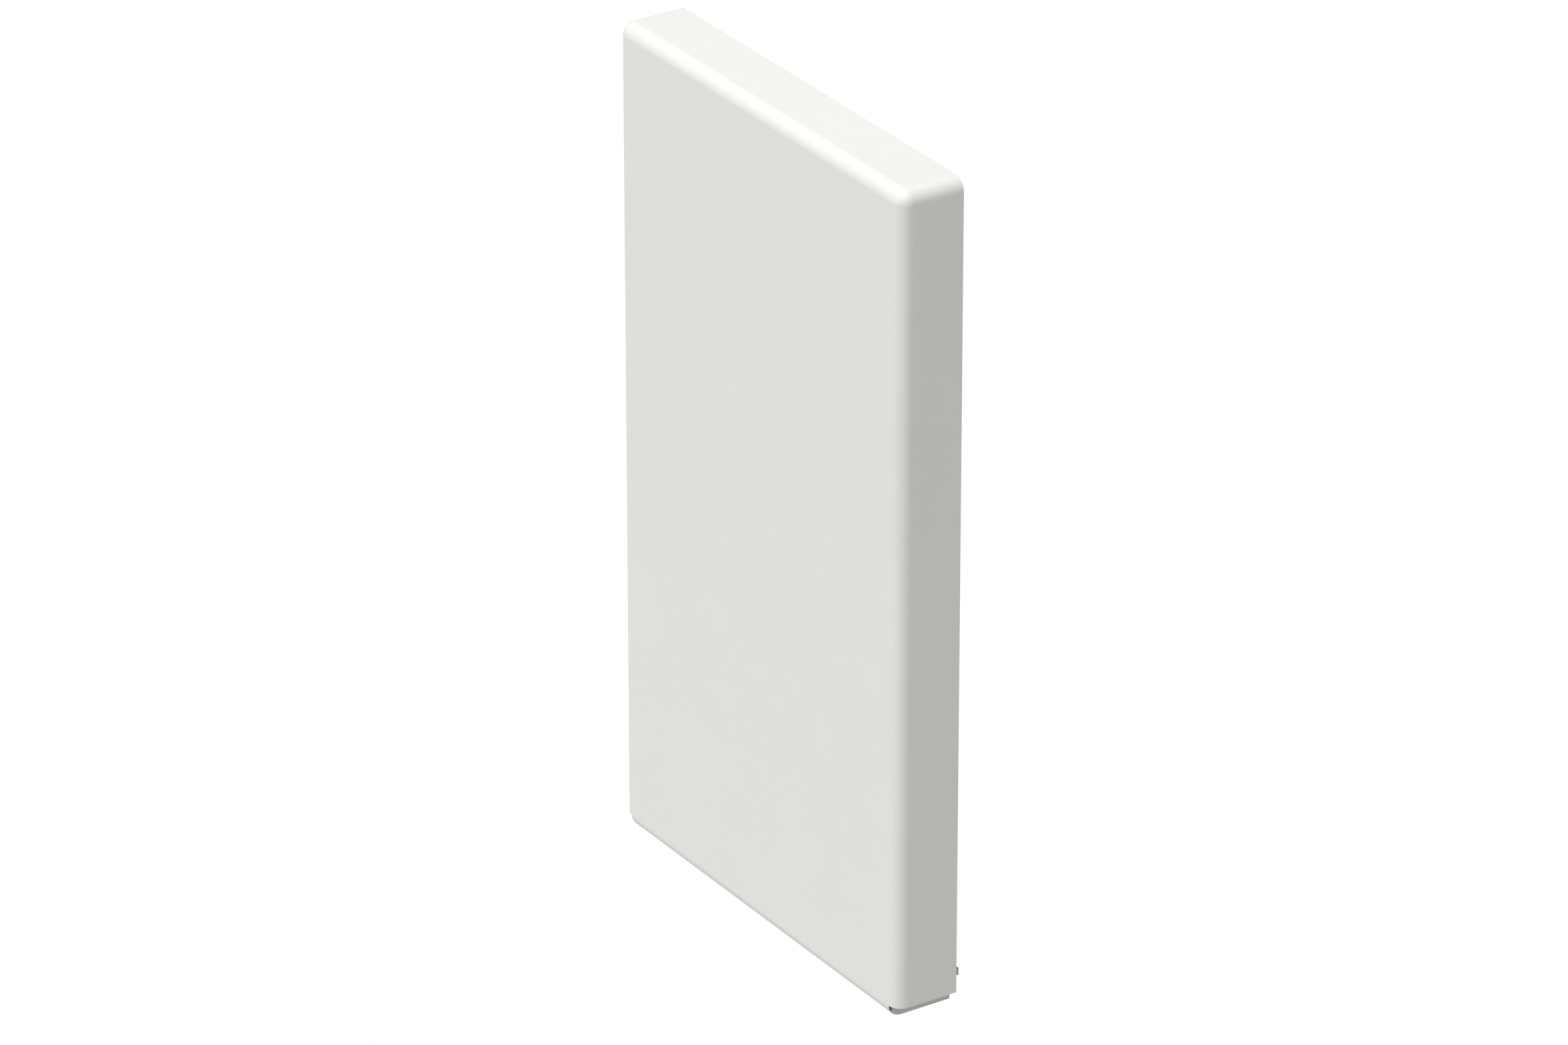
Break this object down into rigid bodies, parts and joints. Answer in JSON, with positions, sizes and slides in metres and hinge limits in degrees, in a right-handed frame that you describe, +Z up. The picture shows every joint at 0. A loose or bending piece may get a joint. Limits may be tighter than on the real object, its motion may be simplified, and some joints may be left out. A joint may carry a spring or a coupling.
{
  "type": "wall battery unit",
  "caption": "Slim wall-hung battery unit: white sheet-metal cover over a sealed case of cells, hung on a wall rail.",
  "frame": {"origin": "centre of the four wall holes, on the wall plane", "axes": "+X to the right of someone facing the unit's front; -Y out of the wall, the unit's front; +Z up"},
  "size_m": [0.66, 0.109, 1.2],
  "materials": {
    "cover_paint": "satin white powder coat",
    "case_paint": "mid grey powder coat",
    "zinc_steel": "zinc plated",
    "cell_can": "cell cans in insulating film",
    "module_metal": "extruded and milled aluminium",
    "copper_bar": "bare copper",
    "seal_rubber": "black foam rubber",
    "black_plastic": "moulded black plastic",
    "pale_plastic": "insulating sheet and moulded nylon",
    "circuit_board": "green solder mask",
    "knob_plastic": "moulded red plastic",
    "grey_plastic": "moulded grey plastic"
  },
  "bodies": {
    "wall_mount": {"wall_rail": "zinc_steel", "lower_bar": "case_paint", "bar_end_caps": "grey_plastic"},
    "cover": {"front_cover": "cover_paint", "cover_studs": "zinc_steel"},
    "isolator": {"isolator_knob": "knob_plastic", "isolator_shaft": "zinc_steel"},
    "button": {"power_button": "grey_plastic"},
    "battery": {"back_plate": "case_paint", "board_components": "black_plastic", "board_spacers": "black_plastic", "button_barrel": "black_plastic", "cable_glands": "black_plastic", "case_gasket": "seal_rubber", "case_screws": "zinc_steel", "contactor_posts": "copper_bar", "control_board": "circuit_board", "current_shunt": "copper_bar", "fuse_holder": "black_plastic", "gland_nuts": "black_plastic", "gland_plugs": "black_plastic", "ground_stud": "zinc_steel", "hanging_hooks": "zinc_steel", "heat_sink": "module_metal", "hook_rivets": "zinc_steel", "inner_case": "case_paint", "isolator_switch": "black_plastic", "lead_terminals": "pale_plastic", "lower_busbars": "copper_bar", "lower_cell_terminals": "module_metal", "lower_cells": "cell_can", "lower_end_plates": "module_metal", "lower_module_base": "module_metal", "lower_module_bolts": "zinc_steel", "lower_sense_board": "circuit_board", "lower_separators": "pale_plastic", "lower_straps": "zinc_steel", "main_contactors": "black_plastic", "main_fuse": "pale_plastic", "module_link": "copper_bar", "negative_busbar": "copper_bar", "positive_busbar": "copper_bar", "pressure_vent": "black_plastic", "stud_sockets": "black_plastic", "terminal_screws": "zinc_steel", "upper_busbars": "copper_bar", "upper_cell_terminals": "module_metal", "upper_cells": "cell_can", "upper_end_plates": "module_metal", "upper_module_base": "module_metal", "upper_module_bolts": "zinc_steel", "upper_sense_board": "circuit_board", "upper_separators": "pale_plastic", "upper_straps": "zinc_steel", "wiring_cover": "case_paint", "wiring_cover_screws": "zinc_steel", "wiring_gasket": "seal_rubber"}
  },
  "joints": [
    {"name": "battery_lift", "type": "slide", "parent": "wall_mount", "child": "battery", "axis": [0, 0, 1], "range_m": [0, 0.03]},
    {"name": "cover_pull", "type": "slide", "parent": "battery", "child": "cover", "axis": [0, -1, 0], "range_m": [0, 0.14]},
    {"name": "isolator_turn", "type": "hinge", "parent": "battery", "child": "isolator", "pos_m": [-0.2205, -0.051, -0.557], "axis": [0, 0, 1], "range_deg": [0, 90]},
    {"name": "button_press", "type": "slide", "parent": "battery", "child": "button", "axis": [0, 0, 1], "range_m": [0, 0.0025], "stiffness_N_per_m": 800, "springref_m": -0.001}
  ]
}
